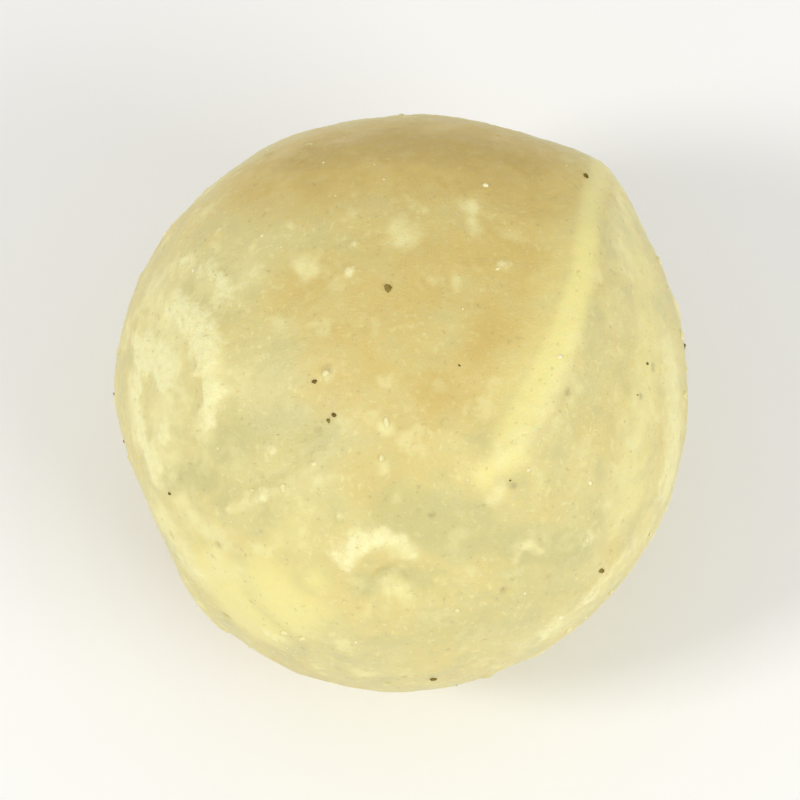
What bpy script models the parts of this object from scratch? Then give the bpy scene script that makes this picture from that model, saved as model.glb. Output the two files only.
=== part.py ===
"""A shelled macadamia kernel, about 19 mm across, modelled as the one closed solid that it grew as.

The kernel is nearly a ball. A raised crest crosses it, with a shallow toasted hollow on one side and a
smooth dome on the other. One flank is flattened and ends in a blunt tip, from which a fine seam shows where
the two seed halves meet. A chip has left a small scar, and the kernel rests on a small flat spot.

Units are metres and +Z is up. The flat spot lies on the ground plane, with the middle of the kernel above the
origin. Whoever looks along +Y, and down at the angle SIGHT_ANGLE, sees the side that the photograph shows.
Places on the kernel are given as they see them, as (right, up, near) from the middle of the ball.

Run it with: blender --background --python part.py
"""

from math import cos, radians, sin
from typing import NamedTuple

import bmesh
import bpy
import numpy as np

# Driving dimensions
BALL_RADIUS = 0.0097  # metres, the mean radius of the kernel
STANDING_HEIGHT = 0.955  # how much shorter the kernel is upright than across, before the flat spot is cut
FLAT_SPOT_CUT = 0.035  # in ball radii, taken off the bottom to make the flat spot
SIGHT_ANGLE = radians(70)  # how steeply the photograph looks down

# The mesh
CELLS_PER_SIDE = 27  # of each of the six sides of the cube that is blown up into the ball
SAME_SPOT = 1e-7  # metres, closer points than this are one

# The crest, from where it rises on the near side, over the top right edge, to where it fades behind
CREST_SPOTS = (
    (0.13, -0.25, 0.96),
    (0.41, -0.10, 0.91),
    (0.545, 0.21, 0.81),
    (0.60, 0.53, 0.60),
    (0.655, 0.735, 0.18),
    (0.66, 0.72, -0.22),
    (0.58, 0.62, -0.53),
)
CREST_STEPS = 16  # steps from each spot of the crest to the next
CREST_NEARNESS = 70.0  # higher lets fewer points of the crest count for each place beside it
CREST_REACH = 1.2  # radians from the crest, past which nothing is shaped by it
CREST_STARTS, CREST_ENDS = 0.02, 0.98  # shares of the crest's length between which it stands out
CREST_FADE_IN = 0.13  # share of the crest's length over which it rises on the near side
CREST_FADE_OUT = 0.30  # share over which it sinks behind
CREST_PEAK_AT = 0.66  # share of its length at which it is highest and broadest


class Section(NamedTuple):
    """The crest's section at one place along it."""

    height: float  # in ball radii
    rounding: float  # radians round the ball, of its top
    dome_slope: float  # radians over which it falls away to the dome
    hollow_slope: float  # radians over which it falls away to the hollow


NEAR_SECTION = Section(0.036, 0.018, 0.14, 0.10)
PEAK_SECTION = Section(0.088, 0.080, 0.26, 0.19)

# The toasted hollow runs beside the crest, and is shallow where the crest is highest
HOLLOW_DEPTH = 0.040  # in ball radii
HOLLOW_WALL = 0.13  # radians from the crest to the foot of the steep wall below it
HOLLOW_BREADTH = 0.80  # radians from the crest to where the floor has risen to the dome again
HOLLOW_WHOLE_UNTIL = 0.33  # share of the crest's length up to which the hollow has its full depth
HOLLOW_ENDS = 0.66  # share of the crest's length at which the hollow has run out

# The flank that is pressed flat
FLANK_TOWARDS = (-0.92, -0.39, 0.0)
FLANK_DISTANCE = 0.955  # ball radii from the middle
FLANK_EDGE_SHARPNESS = 38.0  # higher gives a crisper edge round the flat flank
FLANK_LEAST_FACING = 0.2  # a direction that faces the flank less than this counts as if it faced it this much

# The seam of the seed halves runs from the tip and fades out over the hidden side
SEAM_PLANE = (0.66, -0.72, 0.21)  # the direction that the seam's plane faces
SEAM_DEPTH = 0.012  # in ball radii
SEAM_SPREAD = 0.05  # radians
SEAM_WHOLE_WITHIN = 0.2  # radians from the tip
SEAM_REACH = 1.5  # radians from the tip, where it has faded out
SEAM_FADES_AT = 0.05  # how near, in ball radii, it has faded out towards the seen side
SEAM_WHOLE_AT = -0.25  # how near it is whole on the hidden side

KERNEL_COLOUR = (0.76, 0.62, 0.31, 1.0)  # cream, linear RGB
KERNEL_ROUGHNESS = 0.45


class Swell(NamedTuple):
    """A broad rise round one direction, or a hollow where its height is below zero."""

    towards: tuple  # right, up, near
    height: float  # in ball radii
    spread: float  # radians


TIP = Swell((-0.62, -0.66, -0.42), 0.060, 0.32)
CHIP_SCAR = Swell((-0.06, -0.60, 0.80), -0.034, 0.075)
CHIP_LIP = Swell((-0.09, -0.49, 0.87), 0.016, 0.080)
OTHER_SWELLS = (
    Swell((0.10, 0.52, 0.85), -0.022, 0.42),  # the toasted face beside the crest is flatter than a ball
    Swell((-0.66, 0.05, 0.75), 0.020, 0.17),  # the soft ridge down the left of the near side
    Swell((-0.38, -0.10, 0.92), -0.020, 0.26),  # the shallow dip beside it
    Swell((-0.45, -0.68, 0.58), 0.018, 0.24),  # the smooth shoulder below the dip
    Swell((0.72, -0.50, 0.47), 0.014, 0.30),  # the shoulder at the lower right
    Swell((-0.10, -1.00, 0.00), 0.022, 0.50),  # the low edge
    Swell((-0.60, 0.62, -0.50), 0.018, 0.42),  # hidden side
    Swell((0.55, -0.25, -0.80), -0.016, 0.38),  # hidden side
)

# Small lumps that leave no part of the kernel a true ball
LUMPS = 90
LUMP_HEIGHT = 0.0045  # in ball radii, up or down
LUMP_SPREADS = (0.10, 0.26)  # radians, of the smallest and the largest
LUMP_SEED = 11


def unit(vector):
    """The vector, or each row of an array of them, with a length of one."""
    vector = np.asarray(vector, dtype=float)
    return vector / np.linalg.norm(vector, axis=-1, keepdims=True)


def as_seen(towards):
    """World direction of a place given as (right, up, near)."""
    right = np.array((1.0, 0.0, 0.0))
    up = np.array((0.0, sin(SIGHT_ANGLE), cos(SIGHT_ANGLE)))
    near = np.array((0.0, -cos(SIGHT_ANGLE), sin(SIGHT_ANGLE)))
    return unit(np.asarray(towards, dtype=float) @ np.array((right, up, near)))


def angle_from(ways, towards):
    """Angle between each of the world directions and one place on the ball."""
    return np.arccos(np.clip(ways @ as_seen(towards), -1.0, 1.0))


def hump(distance, spread):
    """One at distance 0, falling smoothly to nothing past about twice the spread."""
    return np.exp(-((distance / spread) ** 2))


def smooth_step(value, start, end):
    """Nought before start and one after end, with a smooth rise between them."""
    share = np.clip((value - start) / (end - start), 0.0, 1.0)
    return share * share * (3.0 - 2.0 * share)


def stretch(before, start, end, after, share):
    """Points of the smooth Catmull-Rom curve from start to end, given the spots before and after them."""
    return (
        start
        + 0.5 * share * (end - before)
        + share**2 * (before - 2.5 * start + 2.0 * end - 0.5 * after)
        + share**3 * (1.5 * (start - end) + 0.5 * (after - before))
    )


def crest_line():
    """Points along the crest on the unit ball, and the direction in which it runs at each."""
    spots = np.array([as_seen(spot) for spot in CREST_SPOTS])
    before = 2.0 * spots[0] - spots[1]
    after = 2.0 * spots[-1] - spots[-2]
    spots = np.vstack((before, spots, after))
    share = np.linspace(0.0, 1.0, CREST_STEPS, endpoint=False)[:, None]
    stretches = [stretch(*four, share) for four in zip(spots, spots[1:], spots[2:], spots[3:])]
    points = unit(np.vstack(stretches))
    return points, unit(np.gradient(points, axis=0))


def beside_crest(ways):
    """How far each direction lies along the crest, as a share of it; how far to the hollow's side of it, in
    radians; and a weight that is nought where the crest is too far away to shape the kernel."""
    points, runs = crest_line()
    closeness = ways @ points.T
    closest = closeness.max(axis=1, keepdims=True)
    weight = np.exp(CREST_NEARNESS * (closeness - closest))
    weight /= weight.sum(axis=1, keepdims=True)
    along = weight @ np.linspace(0.0, 1.0, len(points))
    off_crest = np.arcsin(np.clip(ways @ unit(np.cross(points, runs)).T, -1.0, 1.0))
    near = smooth_step(closest[:, 0], cos(CREST_REACH), cos(HOLLOW_BREADTH))
    return along, (weight * off_crest).sum(axis=1), near


def crest_and_hollow(ways):
    """Height that the crest adds and the hollow beside it takes, in ball radii."""
    along, aside, near = beside_crest(ways)
    growth = smooth_step(along, 0.0, CREST_PEAK_AT)
    height, rounding, dome_slope, hollow_slope = (
        start + (peak - start) * growth for start, peak in zip(NEAR_SECTION, PEAK_SECTION)
    )
    rise = near * smooth_step(along, CREST_STARTS, CREST_STARTS + CREST_FADE_IN)
    ends = rise * smooth_step(along, CREST_ENDS, CREST_ENDS - CREST_FADE_OUT)
    slope = np.where(aside > 0.0, hollow_slope, dome_slope)
    rounded = np.sqrt(aside**2 + rounding**2) - rounding
    crest = height * ends * np.exp(-rounded / slope)
    runs_out = smooth_step(along, HOLLOW_ENDS, HOLLOW_WHOLE_UNTIL)
    floor = smooth_step(aside, 0.0, HOLLOW_WALL) * smooth_step(aside, HOLLOW_BREADTH, HOLLOW_WALL)
    hollow = HOLLOW_DEPTH * rise * runs_out * floor
    return crest - hollow


def seam(ways):
    """Depth of the fine seam between the seed halves, in ball radii."""
    off_plane = np.arcsin(np.clip(ways @ as_seen(SEAM_PLANE), -1.0, 1.0))
    reach = smooth_step(angle_from(ways, TIP.towards), SEAM_REACH, SEAM_WHOLE_WITHIN)
    hidden = smooth_step(ways @ as_seen((0.0, 0.0, 1.0)), SEAM_FADES_AT, SEAM_WHOLE_AT)
    return SEAM_DEPTH * hump(off_plane, SEAM_SPREAD) * reach * hidden


def lumps(ways):
    """Height that the small lumps add in each world direction, in ball radii."""
    draw = np.random.default_rng(LUMP_SEED)
    height = np.zeros(len(ways))
    for middle in unit(draw.normal(size=(LUMPS, 3))):
        distance = np.arccos(np.clip(ways @ middle, -1.0, 1.0))
        height += draw.uniform(-LUMP_HEIGHT, LUMP_HEIGHT) * hump(distance, draw.uniform(*LUMP_SPREADS))
    return height


def ball_radii(ways):
    """Distance of the surface from the middle in each world direction, in ball radii."""
    radii = 1.0 + lumps(ways)
    for swell in (TIP, CHIP_SCAR, CHIP_LIP, *OTHER_SWELLS):
        radii += swell.height * hump(angle_from(ways, swell.towards), swell.spread)
    radii += crest_and_hollow(ways) - seam(ways)
    facing = ways @ as_seen(FLANK_TOWARDS)
    flank = FLANK_DISTANCE / np.maximum(facing, FLANK_LEAST_FACING)
    sharp = FLANK_EDGE_SHARPNESS
    return -np.log(np.exp(-sharp * radii) + np.exp(-sharp * flank)) / sharp


def ball_of_cells():
    """A mesh of even four-sided cells on the unit ball, blown up from a cube."""
    mesh = bmesh.new()
    bmesh.ops.create_cube(mesh, size=2.0)
    bmesh.ops.subdivide_edges(mesh, edges=mesh.edges[:], cuts=CELLS_PER_SIDE - 1, use_grid_fill=True)
    cube = np.array([vertex.co[:] for vertex in mesh.verts])
    for vertex, way in zip(mesh.verts, unit(np.tan(cube * np.pi / 4.0))):
        vertex.co = way
    return mesh


def shape_kernel(mesh):
    """Moves each point of the ball out to the kernel's surface, at the kernel's real size."""
    ways = np.array([vertex.co[:] for vertex in mesh.verts])
    points = ways * ball_radii(ways)[:, None] * BALL_RADIUS
    points[:, 2] *= STANDING_HEIGHT
    for vertex, point in zip(mesh.verts, points):
        vertex.co = point


def cut_flat_spot(mesh):
    """Cuts the bottom level, closes it, and sets the kernel on the ground."""
    level = -(1.0 - FLAT_SPOT_CUT) * BALL_RADIUS * STANDING_HEIGHT
    everything = mesh.verts[:] + mesh.edges[:] + mesh.faces[:]
    cut = bmesh.ops.bisect_plane(
        mesh, geom=everything, dist=SAME_SPOT, plane_co=(0, 0, level), plane_no=(0, 0, -1), clear_outer=True
    )
    rim = [part for part in cut["geom_cut"] if isinstance(part, bmesh.types.BMEdge)]
    bmesh.ops.contextual_create(mesh, geom=rim)
    lowest = np.array([vertex.co[:] for vertex in mesh.verts]).min(axis=0)
    highest = np.array([vertex.co[:] for vertex in mesh.verts]).max(axis=0)
    middle = (lowest + highest) / 2.0
    bmesh.ops.translate(mesh, verts=mesh.verts[:], vec=(-middle[0], -middle[1], -lowest[2]))
    bmesh.ops.recalc_face_normals(mesh, faces=mesh.faces[:])


def kernel_material():
    """Cream flesh, oily but not wet."""
    material = bpy.data.materials.new("kernel_flesh")
    material.use_nodes = True
    shader = material.node_tree.nodes["Principled BSDF"]
    shader.inputs["Base Color"].default_value = KERNEL_COLOUR
    shader.inputs["Roughness"].default_value = KERNEL_ROUGHNESS
    shader.inputs["Metallic"].default_value = 0.0
    return material


def build_kernel():
    """The whole kernel, as one object."""
    shape = ball_of_cells()
    shape_kernel(shape)
    cut_flat_spot(shape)
    for face in shape.faces:
        face.smooth = True
    lowest = min(shape.faces, key=lambda face: face.calc_center_median().z)
    lowest.smooth = False
    mesh = bpy.data.meshes.new("kernel")
    shape.to_mesh(mesh)
    shape.free()
    mesh.materials.append(kernel_material())
    kernel = bpy.data.objects.new("kernel", mesh)
    bpy.context.collection.objects.link(kernel)
    return kernel


def main():
    """Clears the file and builds the kernel in it."""
    for leftover in list(bpy.data.objects):
        bpy.data.objects.remove(leftover)
    build_kernel()


main()
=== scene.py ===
"""The looks of one shelled macadamia kernel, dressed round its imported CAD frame.

The kernel is one grown piece, nearly a ball, which rests on a small flat spot. A raised crest crosses it, with a
toasted hollow on one side and a smooth dome on the other. Its flesh is cream and waxy, with chalky patches where it
has rubbed, glassy greenish patches where it is clearer, fine salt crumbs and a few dark specks.

Units are metres, +Z is up, and everything is in the frame's own place. A spot on the kernel is given as someone
sees it who looks along +Y and steeply down: right, up and near from the middle of the ball, or only right and up
where it is on the side that they see. Ways are world directions of length one, one in each row of an array.
"""

import logging
from collections.abc import Mapping, Sequence
from dataclasses import dataclass
from enum import Enum
from math import cos, pi, radians, sin
from typing import Any

import bmesh
import bpy
import numpy as np
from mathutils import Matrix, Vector


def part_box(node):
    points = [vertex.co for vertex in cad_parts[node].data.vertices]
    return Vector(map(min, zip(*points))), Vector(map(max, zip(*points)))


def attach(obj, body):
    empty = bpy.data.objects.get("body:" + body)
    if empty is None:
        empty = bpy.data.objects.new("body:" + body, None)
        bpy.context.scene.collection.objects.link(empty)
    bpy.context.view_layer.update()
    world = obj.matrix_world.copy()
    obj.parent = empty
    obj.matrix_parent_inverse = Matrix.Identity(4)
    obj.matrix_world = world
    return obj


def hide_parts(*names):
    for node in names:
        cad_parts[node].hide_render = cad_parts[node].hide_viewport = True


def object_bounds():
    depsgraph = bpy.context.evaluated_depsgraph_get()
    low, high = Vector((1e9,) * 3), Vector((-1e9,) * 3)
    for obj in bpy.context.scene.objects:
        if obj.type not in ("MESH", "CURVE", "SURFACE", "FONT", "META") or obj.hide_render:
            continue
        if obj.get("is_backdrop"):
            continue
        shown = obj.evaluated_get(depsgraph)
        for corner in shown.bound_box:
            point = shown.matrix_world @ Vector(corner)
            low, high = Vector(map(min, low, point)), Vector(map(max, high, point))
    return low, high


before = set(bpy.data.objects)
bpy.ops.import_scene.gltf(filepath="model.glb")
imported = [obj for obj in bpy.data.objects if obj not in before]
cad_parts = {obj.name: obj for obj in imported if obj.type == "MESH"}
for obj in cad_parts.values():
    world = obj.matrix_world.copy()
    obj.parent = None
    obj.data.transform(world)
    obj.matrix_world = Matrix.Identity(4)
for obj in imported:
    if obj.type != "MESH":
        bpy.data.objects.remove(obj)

Array = np.ndarray
Pair = tuple[float, float]
Spot = tuple[float, ...]
Numbers = tuple[float, ...]
Light = tuple[float, float, float]
Colour = tuple[float, float, float, float]
Socket = bpy.types.NodeSocket

MILLIMETRE = 0.001
WHOLE_TURN = 2.0 * pi
NODE = "kernel"
BODY = "root"
NEAREST = (0.0, 0.0, 1.0)
HIDDEN_BEYOND = 0.2
TIP = (-0.62, -0.66, -0.42)
CRACK = (-0.45, 0.82, -0.24)
SCAR = ((0.95, -0.18, -0.2), (0.93, 0.085, -0.35), (0.78, 0.34, -0.53), (0.55, 0.53, -0.64))
log = logging.getLogger("kernel")


class Zone(Enum):
    """The kinds of skin on the kernel. Each value names the mesh attribute that holds how much of it is there."""

    TOASTED = "toasted"
    CHALKY = "chalky"
    BLOOM = "bloom"
    GLASSY = "glassy"
    BUTTERY = "buttery"
    STAINED = "stained"
    CRUST = "crust"
    # The pits are darkened in the finish: painted shade in them, in the stain colour.
    PIT = "pit"


@dataclass(frozen=True)
class Sight:
    """The photographer's line of sight."""

    angle: float = radians(70)

    def axes(self) -> Array:
        """The world directions of right, up and near, one in each row."""
        high, level = sin(self.angle), cos(self.angle)
        return np.array(((1.0, 0.0, 0.0), (0.0, high, level), (0.0, -level, high)))

    def way_to(self, spot: Spot) -> Array:
        """World direction of a spot.

        Args:
            spot: right, up and near at any distance from the middle, or right and up alone, in ball radii.

        Returns:
            A direction with a length of one.
        """
        right, up = spot[:2]
        near = spot[2] if len(spot) > 2 else max(0.0, 1.0 - right**2 - up**2) ** 0.5
        return unit(np.array((right, up, near)) @ self.axes())


def unit(vector: Any) -> Array:
    """The vector, or each row of an array of them, with a length of one."""
    vector = np.asarray(vector, dtype=float)
    return vector / np.linalg.norm(vector, axis=-1, keepdims=True)


def hump(distance: Array, spread: float | Array) -> Array:
    """One at distance 0, falling smoothly to nothing past about twice the spread."""
    return np.exp(-((distance / spread) ** 2))


def smooth_step(value: Array, start: float, end: float) -> Array:
    """Nought before start and one after end, with a smooth rise between them."""
    share = np.clip((value - start) / (end - start), 0.0, 1.0)
    return share * share * (3.0 - 2.0 * share)


def drawn_spot(draw: np.random.Generator) -> Spot:
    """A spot drawn from anywhere on the ball."""
    return tuple(float(part) for part in unit(draw.normal(size=3)))


SIGHT = Sight()


def angle_from(ways: Array, middle: Array) -> Array:
    """Angle between each of the world directions and one of them."""
    return np.arccos(np.clip(ways @ middle, -1.0, 1.0))


@dataclass(frozen=True)
class Mark:
    """A rise round one spot, or a ridge along a line of spots; a hollow or a groove where its height is below zero.

    Heights are in ball radii and spreads are in radians round the ball.
    """

    height: float
    spread: float
    spots: tuple[Spot, ...]

    def parts(self, ways: Array) -> list[Array]:
        """The rise, or every stretch of the ridge.

        Args:
            ways: world directions.

        Returns:
            For each of them, its height in each direction.
        """
        middles = [SIGHT.way_to(spot) for spot in self.spots]
        if len(middles) == 1:
            return [self.height * hump(angle_from(ways, middles[0]), self.spread)]
        found = []
        for start, end in zip(middles, middles[1:]):
            share = np.clip((ways - start) @ (end - start) / ((end - start) @ (end - start)), 0.0, 1.0)
            closest = unit(start + share[:, None] * (end - start))
            found.append(self.height * hump(np.linalg.norm(ways - closest, axis=1), self.spread))
        return found


def laid(*rows: tuple[float | Spot, ...]) -> tuple[Mark, ...]:
    """Marks from a table, whose rows hold a height, a spread and one or more spots."""
    return tuple(Mark(height, spread, tuple(spots)) for height, spread, *spots in rows)


@dataclass(frozen=True)
class Cracks:
    """Short cracks that run out from one spot, each with a bend halfway. Turns are in radians or shares of an arm."""

    spot: Spot
    arms: int
    spread: float
    seed: int
    depth: float = 0.011
    reach: float = 0.17
    shortest: float = 0.45
    unevenness: float = 0.3
    bend: float = 0.5

    def marks(self) -> tuple[Mark, ...]:
        """The cracks as grooves.

        Returns:
            One for each arm, of uneven length and turn.
        """
        draw = np.random.default_rng(self.seed)
        middle = unit(self.spot)
        across = unit(np.cross(middle, (0.0, 1.0, 0.0)))
        along = np.cross(middle, across)
        found: list[Mark] = []
        for arm in range(self.arms):
            turn = WHOLE_TURN * (arm + draw.uniform(-self.unevenness, self.unevenness)) / self.arms
            half = self.reach * draw.uniform(self.shortest, 1.0) / 2.0
            bent = turn + draw.uniform(-self.bend, self.bend)
            elbow = middle + half * (across * cos(turn) + along * sin(turn))
            end = elbow + half * (across * cos(bent) + along * sin(bent))
            found.append(Mark(-self.depth, self.spread, (tuple(middle), tuple(elbow), tuple(end))))
        return tuple(found)


@dataclass(frozen=True)
class Chip:
    """A small scar where a flake broke off: a shallow recess with a pale broken wall round one side of it.

    Lengths are in ball radii, but for the wall and the edges, which are in radii of the scar.
    """

    spot: Spot
    turn: float
    radius: float
    depth: float
    wall: float = 0.28
    unevenness: float = 0.16
    paleness: float = 1.0
    recess_edge: Pair = (1.0, 0.35)
    wall_side: Pair = (0.1, 0.7)
    wall_height: float = 0.5
    fine_ripple: float = 0.6

    def place(self, ways: Array) -> tuple[Array, Array]:
        """Where each world direction lies in the scar.

        Args:
            ways: world directions.

        Returns:
            Distance from the middle of the recess, in its own uneven radii, and how far to the side of the broken
            wall.
        """
        middle = SIGHT.way_to(self.spot)
        across = unit(np.cross(middle, SIGHT.axes()[1]))
        upward = np.cross(across, middle)
        side = (ways - middle) @ (upward * cos(self.turn) - across * sin(self.turn)) / self.radius
        aside = (ways - middle) @ (upward * sin(self.turn) + across * cos(self.turn)) / self.radius
        angle = np.arctan2(aside, side)
        ripple = np.sin(2.0 * angle + self.turn) + self.fine_ripple * np.sin(5.0 * angle - self.turn)
        return np.linalg.norm(ways - middle, axis=1) / self.radius / (1.0 + self.unevenness * ripple), side

    def recess_over(self, ways: Array) -> Array:
        """How much of the recess there is in each world direction, from 0 to 1."""
        return smooth_step(self.place(ways)[0], *self.recess_edge)

    def wall_over(self, ways: Array) -> Array:
        """How much of the broken wall there is in each world direction, from 0 to 1."""
        distance, side = self.place(ways)
        return hump(distance - 1.0, self.wall) * smooth_step(side, *self.wall_side)

    def parts(self, ways: Array) -> list[Array]:
        """The height that it adds in each world direction, alone in a list."""
        return [self.depth * (self.wall_height * self.wall_over(ways) - self.recess_over(ways))]


@dataclass(frozen=True)
class HiddenChips:
    """The range of the chips on the hidden side. Depths are shares of a chip's radius."""

    count: int = 9
    radii: Pair = (0.07, 0.15)
    depths: Pair = (0.09, 0.16)
    paleness: Pair = (0.45, 0.85)
    seed: int = 31

    def chips(self) -> tuple[Chip, ...]:
        """The chips.

        Returns:
            As many as the count says, here and there.
        """
        draw = np.random.default_rng(self.seed)
        found: list[Chip] = []
        while len(found) < self.count:
            spot = drawn_spot(draw)
            radius = draw.uniform(*self.radii)
            if spot[2] < HIDDEN_BEYOND - radius:
                turn, depth = draw.uniform(-pi, pi), radius * draw.uniform(*self.depths)
                found.append(Chip(spot, turn, radius, depth, paleness=draw.uniform(*self.paleness)))
        return tuple(found)


@dataclass(frozen=True)
class Crest:
    """The raised crest, and the toasted hollow beside it.

    Shares are of the crest's length, from where it rises on the near side to where it fades behind. A section is the
    crest's height and rounding and its slopes on the dome's side and the hollow's, in ball radii and radians. Its
    pale top is partly pale flesh and partly a painted highlight, the light that the ridge catches laid on as colour.
    It wanders to the hollow's side by the pale shifts, in radians.
    """

    spots: tuple[Spot, ...] = (
        (0.13, -0.25, 0.96), (0.41, -0.1, 0.91), (0.545, 0.21, 0.81), (0.6, 0.53, 0.6), (0.655, 0.735, 0.18),
        (0.66, 0.72, -0.22), (0.58, 0.62, -0.53),
    )
    steps: int = 16
    nearness: float = 70.0
    reach: float = 1.2
    starts: float = 0.02
    ends: float = 0.98
    fade_in: float = 0.13
    fade_out: float = 0.3
    peak_at: float = 0.66
    near_section: Numbers = (0.036, 0.018, 0.14, 0.1)
    peak_section: Numbers = (0.088, 0.08, 0.26, 0.19)
    hollow_depth: float = 0.04
    hollow_wall: float = 0.13
    hollow_breadth: float = 0.8
    hollow_ends: float = 0.66
    pale_from: float = 0.06
    pale_along: Numbers = (0.05, 0.13, 0.2, 0.25, 0.35, 0.45, 0.58)
    pale_shifts: Numbers = (0.007, 0.045, 0.06, 0.052, 0.025, -0.004, 0.022)
    pale_spread: float = 0.057
    pale_fades: Pair = (0.34, 0.6)
    pale_loss: float = 0.25
    shoulder: float = 0.5
    shoulder_spread: float = 0.18
    dome_from: Pair = (0.03, -0.1)

    def line(self) -> tuple[Array, Array]:
        """The crest's top on the unit ball, a Catmull-Rom curve through its spots.

        Returns:
            Points along it, and the direction in which it runs at each.
        """
        spots = np.array([SIGHT.way_to(spot) for spot in self.spots])
        spots = np.vstack((2.0 * spots[0] - spots[1], spots, 2.0 * spots[-1] - spots[-2]))
        share = np.linspace(0.0, 1.0, self.steps, endpoint=False)[:, None]
        stretches = [
            b
            + 0.5 * share * (c - a)
            + share**2 * (a - 2.5 * b + 2.0 * c - 0.5 * d)
            + share**3 * (1.5 * (b - c) + 0.5 * (d - a))
            for a, b, c, d in zip(spots, spots[1:], spots[2:], spots[3:])
        ]
        points = unit(np.vstack(stretches))
        return points, unit(np.gradient(points, axis=0))

    def beside(self, ways: Array) -> tuple[Array, Array, Array]:
        """Where each world direction lies beside the crest.

        Args:
            ways: world directions.

        Returns:
            How far along the crest each lies, as a share; how far to the hollow's side, in radians; and a weight
            that is nought where the crest is too far away to shape the kernel.
        """
        points, runs = self.line()
        closeness = ways @ points.T
        closest = closeness.max(axis=1, keepdims=True)
        weight = np.exp(self.nearness * (closeness - closest))
        weight /= weight.sum(axis=1, keepdims=True)
        along = weight @ np.linspace(0.0, 1.0, len(points))
        off_crest = np.arcsin(np.clip(ways @ unit(np.cross(points, runs)).T, -1.0, 1.0))
        near = smooth_step(closest[:, 0], cos(self.reach), cos(self.hollow_breadth))
        return along, (weight * off_crest).sum(axis=1), near

    def risen(self, along: Array, start: float) -> Array:
        """Share of its height that the crest has reached, where it rises from start on."""
        return smooth_step(along, start, start + self.fade_in)

    def lasting(self, along: Array) -> Array:
        """Share of its height that the crest still has, before it fades behind."""
        return smooth_step(along, self.ends, self.ends - self.fade_out)

    def over(self, ways: Array) -> Array:
        """Height that the crest adds and the hollow takes.

        Args:
            ways: world directions.

        Returns:
            The height in each direction, in ball radii.
        """
        along, aside, near = self.beside(ways)
        growth = smooth_step(along, 0.0, self.peak_at)
        sections = zip(self.near_section, self.peak_section)
        height, rounding, dome_slope, hollow_slope = (low + (high - low) * growth for low, high in sections)
        stands = near * self.risen(along, self.starts) * self.lasting(along)
        slope = np.where(aside > 0.0, hollow_slope, dome_slope)
        rounded = np.sqrt(aside**2 + rounding**2) - rounding
        return height * stands * np.exp(-rounded / slope) - self.hollow_depth * self.hollow_over(ways)

    def hollow_over(self, ways: Array) -> Array:
        """How deep the hollow is.

        Args:
            ways: world directions.

        Returns:
            The share of its depth in each direction.
        """
        along, aside, near = self.beside(ways)
        runs_out = smooth_step(along, self.hollow_ends, self.hollow_ends / 2.0)
        wall = smooth_step(aside, 0.0, self.hollow_wall)
        floor = smooth_step(aside, self.hollow_breadth, self.hollow_wall)
        return near * self.risen(along, self.starts) * runs_out * wall * floor

    def top_over(self, ways: Array) -> Array:
        """How much of the crest's pale top there is: pale flesh with a painted highlight along the ridge.

        Args:
            ways: world directions.

        Returns:
            One along the top, falling off to either side.
        """
        along, aside, near = self.beside(ways)
        stands = near * self.risen(along, self.pale_from) * self.lasting(along)
        stands *= 1.0 - self.pale_loss * smooth_step(along, *self.pale_fades)
        off = aside - np.interp(along, self.pale_along, self.pale_shifts)
        shoulder = self.shoulder * hump(off, np.where(off > 0.0, self.shoulder_spread, self.pale_spread))
        return stands * np.maximum(hump(off, self.pale_spread), shoulder)

    def dome_over(self, ways: Array) -> Array:
        """One on the dome's side of the crest, nought on the hollow's side and far from the crest."""
        _, aside, near = self.beside(ways)
        return near * smooth_step(aside, *self.dome_from)


@dataclass(frozen=True)
class Flank:
    """The side of the kernel that grew flat against its shell."""

    spot: Spot = (-0.92, -0.39, 0.0)
    distance: float = 0.955
    sharpness: float = 38.0
    least_facing: float = 0.2

    def flatten(self, ways: Array, radii: Array) -> Array:
        """The form's radii with the flank pressed flat, with a rounded edge."""
        flank = self.distance / np.maximum(ways @ SIGHT.way_to(self.spot), self.least_facing)
        return -np.log(np.exp(-self.sharpness * radii) + np.exp(-self.sharpness * flank)) / self.sharpness


@dataclass(frozen=True)
class Seam:
    """The fine seam of the seed halves. It runs from the tip and fades out over the hidden side."""

    plane: Spot = (0.66, -0.72, 0.21)
    depth: float = 0.012
    spread: float = 0.05
    fades: Pair = (1.5, 0.2)
    hidden: Pair = (0.05, -0.25)

    def over(self, ways: Array) -> Array:
        """Depth that it takes from the kernel.

        Args:
            ways: world directions.

        Returns:
            The depth in each direction, in ball radii.
        """
        off_plane = np.arcsin(np.clip(ways @ SIGHT.way_to(self.plane), -1.0, 1.0))
        reach = smooth_step(angle_from(ways, SIGHT.way_to(TIP)), *self.fades)
        hidden = smooth_step(ways @ SIGHT.way_to(NEAREST), *self.hidden)
        return self.depth * hump(off_plane, self.spread) * reach * hidden


@dataclass(frozen=True)
class Lumps:
    """Small lumps that leave no part of the kernel a true ball."""

    count: int = 90
    height: float = 0.0045
    spreads: Pair = (0.1, 0.26)
    seed: int = 11

    def over(self, ways: Array) -> Array:
        """Height that they add to the kernel.

        Args:
            ways: world directions.

        Returns:
            The height in each direction, in ball radii.
        """
        draw = np.random.default_rng(self.seed)
        height = np.zeros(len(ways))
        for middle in unit(draw.normal(size=(self.count, 3))):
            lump = draw.uniform(-self.height, self.height)
            height += lump * hump(angle_from(ways, middle), draw.uniform(*self.spreads))
        return height


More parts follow.
